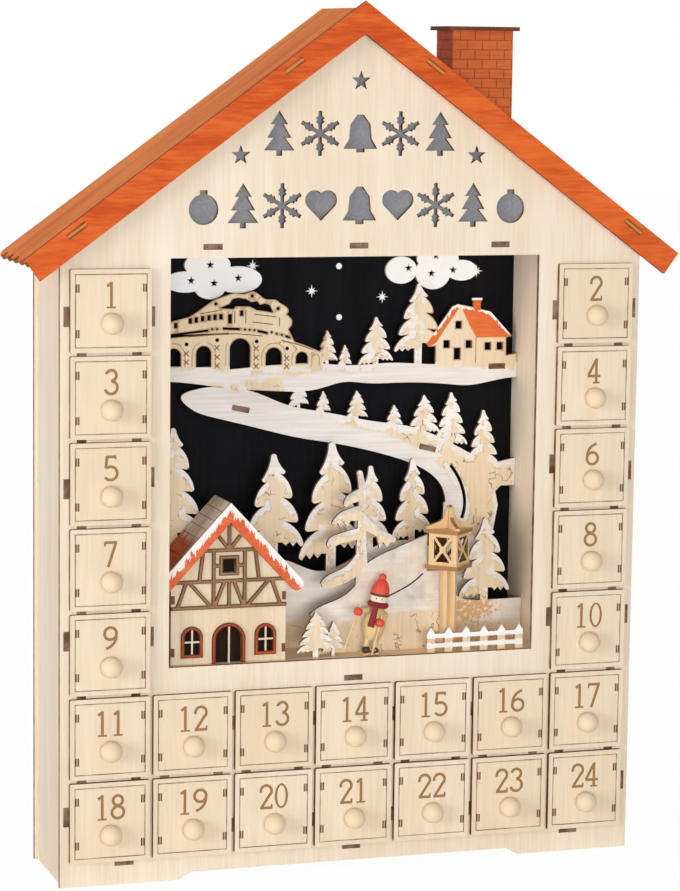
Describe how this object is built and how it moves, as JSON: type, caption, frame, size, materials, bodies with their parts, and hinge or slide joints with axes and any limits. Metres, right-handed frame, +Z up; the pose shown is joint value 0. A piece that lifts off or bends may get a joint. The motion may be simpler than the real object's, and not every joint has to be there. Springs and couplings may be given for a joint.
{
  "type": "advent calendar",
  "caption": "House-shaped plywood advent calendar with sliding numbered drawers round a window, a layered winter scene, stained gable roof and chimney.",
  "frame": {"origin": "bottom centre of the whole object, on the surface it stands on", "axes": "X to the right seen from the front, front faces -Y, Z up"},
  "size_m": [0.3704, 0.082, 0.4752],
  "materials": {
    "birch_panel": "bare birch plywood",
    "birch_board": "bare birch plywood",
    "roof_stain": "red-brown stain",
    "fascia_stain": "red-brown stain",
    "brick_stain": "red-brown stain, engraved bricks",
    "cap_stain": "grey-brown stain",
    "backing_grey": "matt grey sheet",
    "sky_paint": "near-black paint",
    "cloud_paint": "white wash",
    "layer_birch": "bare birch with white paint",
    "strut_birch": "bare birch, dark laser-cut ends",
    "house_birch": "bare birch plywood",
    "house_roof_stain": "orange stain",
    "house_trim_stain": "orange stain",
    "lantern_birch": "bare birch plywood",
    "fence_paint": "white paint",
    "figure_paint": "turned wood, painted",
    "drawer_birch": "bare birch plywood, engraved number"
  },
  "bodies": {
    "case": {"front_panel": "birch_panel", "back_panel": "birch_panel", "side_panel_left": "birch_panel", "side_panel_right": "birch_panel", "base_board": "birch_board", "lower_shelf": "birch_board", "ceiling_board": "birch_board", "niche_top_board": "birch_board", "niche_wall_left": "birch_board", "niche_wall_right": "birch_board", "side_shelves": "birch_board", "lower_dividers": "birch_board", "stage_floor": "birch_board", "roof_board_left": "roof_stain", "roof_board_right": "roof_stain", "roof_fascia": "fascia_stain", "chimney_front": "brick_stain", "chimney_back": "brick_stain", "chimney_sides": "brick_stain", "chimney_cap": "cap_stain", "ornament_backing": "backing_grey", "sky_board": "sky_paint", "clouds": "cloud_paint", "village_layer": "layer_birch", "tree_hill": "layer_birch", "front_hill": "layer_birch", "small_firs": "layer_birch", "layer_struts": "strut_birch", "house_front": "house_birch", "house_walls": "house_birch", "house_roof": "house_roof_stain", "house_bargeboard": "house_roof_stain", "house_trim": "house_trim_stain", "lantern": "lantern_birch", "picket_fence": "fence_paint", "skier": "figure_paint"},
    "drawer_01_body": {"drawer_01": "drawer_birch"},
    "drawer_02_body": {"drawer_02": "drawer_birch"},
    "drawer_03_body": {"drawer_03": "drawer_birch"},
    "drawer_04_body": {"drawer_04": "drawer_birch"},
    "drawer_05_body": {"drawer_05": "drawer_birch"},
    "drawer_06_body": {"drawer_06": "drawer_birch"},
    "drawer_07_body": {"drawer_07": "drawer_birch"},
    "drawer_08_body": {"drawer_08": "drawer_birch"},
    "drawer_09_body": {"drawer_09": "drawer_birch"},
    "drawer_10_body": {"drawer_10": "drawer_birch"},
    "drawer_11_body": {"drawer_11": "drawer_birch"},
    "drawer_12_body": {"drawer_12": "drawer_birch"},
    "drawer_13_body": {"drawer_13": "drawer_birch"},
    "drawer_14_body": {"drawer_14": "drawer_birch"},
    "drawer_15_body": {"drawer_15": "drawer_birch"},
    "drawer_16_body": {"drawer_16": "drawer_birch"},
    "drawer_17_body": {"drawer_17": "drawer_birch"},
    "drawer_18_body": {"drawer_18": "drawer_birch"},
    "drawer_19_body": {"drawer_19": "drawer_birch"},
    "drawer_20_body": {"drawer_20": "drawer_birch"},
    "drawer_21_body": {"drawer_21": "drawer_birch"},
    "drawer_22_body": {"drawer_22": "drawer_birch"},
    "drawer_23_body": {"drawer_23": "drawer_birch"},
    "drawer_24_body": {"drawer_24": "drawer_birch"}
  },
  "joints": [
    {"name": "drawer_01_slide", "type": "slide", "parent": "case", "child": "drawer_01_body", "axis": [0, -1, 0], "range_m": [0, 0.052]},
    {"name": "drawer_02_slide", "type": "slide", "parent": "case", "child": "drawer_02_body", "axis": [0, -1, 0], "range_m": [0, 0.052]},
    {"name": "drawer_03_slide", "type": "slide", "parent": "case", "child": "drawer_03_body", "axis": [0, -1, 0], "range_m": [0, 0.052]},
    {"name": "drawer_04_slide", "type": "slide", "parent": "case", "child": "drawer_04_body", "axis": [0, -1, 0], "range_m": [0, 0.052]},
    {"name": "drawer_05_slide", "type": "slide", "parent": "case", "child": "drawer_05_body", "axis": [0, -1, 0], "range_m": [0, 0.052]},
    {"name": "drawer_06_slide", "type": "slide", "parent": "case", "child": "drawer_06_body", "axis": [0, -1, 0], "range_m": [0, 0.052]},
    {"name": "drawer_07_slide", "type": "slide", "parent": "case", "child": "drawer_07_body", "axis": [0, -1, 0], "range_m": [0, 0.052]},
    {"name": "drawer_08_slide", "type": "slide", "parent": "case", "child": "drawer_08_body", "axis": [0, -1, 0], "range_m": [0, 0.052]},
    {"name": "drawer_09_slide", "type": "slide", "parent": "case", "child": "drawer_09_body", "axis": [0, -1, 0], "range_m": [0, 0.052]},
    {"name": "drawer_10_slide", "type": "slide", "parent": "case", "child": "drawer_10_body", "axis": [0, -1, 0], "range_m": [0, 0.052]},
    {"name": "drawer_11_slide", "type": "slide", "parent": "case", "child": "drawer_11_body", "axis": [0, -1, 0], "range_m": [0, 0.052]},
    {"name": "drawer_12_slide", "type": "slide", "parent": "case", "child": "drawer_12_body", "axis": [0, -1, 0], "range_m": [0, 0.052]},
    {"name": "drawer_13_slide", "type": "slide", "parent": "case", "child": "drawer_13_body", "axis": [0, -1, 0], "range_m": [0, 0.052]},
    {"name": "drawer_14_slide", "type": "slide", "parent": "case", "child": "drawer_14_body", "axis": [0, -1, 0], "range_m": [0, 0.052]},
    {"name": "drawer_15_slide", "type": "slide", "parent": "case", "child": "drawer_15_body", "axis": [0, -1, 0], "range_m": [0, 0.052]},
    {"name": "drawer_16_slide", "type": "slide", "parent": "case", "child": "drawer_16_body", "axis": [0, -1, 0], "range_m": [0, 0.052]},
    {"name": "drawer_17_slide", "type": "slide", "parent": "case", "child": "drawer_17_body", "axis": [0, -1, 0], "range_m": [0, 0.052]},
    {"name": "drawer_18_slide", "type": "slide", "parent": "case", "child": "drawer_18_body", "axis": [0, -1, 0], "range_m": [0, 0.052]},
    {"name": "drawer_19_slide", "type": "slide", "parent": "case", "child": "drawer_19_body", "axis": [0, -1, 0], "range_m": [0, 0.052]},
    {"name": "drawer_20_slide", "type": "slide", "parent": "case", "child": "drawer_20_body", "axis": [0, -1, 0], "range_m": [0, 0.052]},
    {"name": "drawer_21_slide", "type": "slide", "parent": "case", "child": "drawer_21_body", "axis": [0, -1, 0], "range_m": [0, 0.052]},
    {"name": "drawer_22_slide", "type": "slide", "parent": "case", "child": "drawer_22_body", "axis": [0, -1, 0], "range_m": [0, 0.052]},
    {"name": "drawer_23_slide", "type": "slide", "parent": "case", "child": "drawer_23_body", "axis": [0, -1, 0], "range_m": [0, 0.052]},
    {"name": "drawer_24_slide", "type": "slide", "parent": "case", "child": "drawer_24_body", "axis": [0, -1, 0], "range_m": [0, 0.052]}
  ]
}
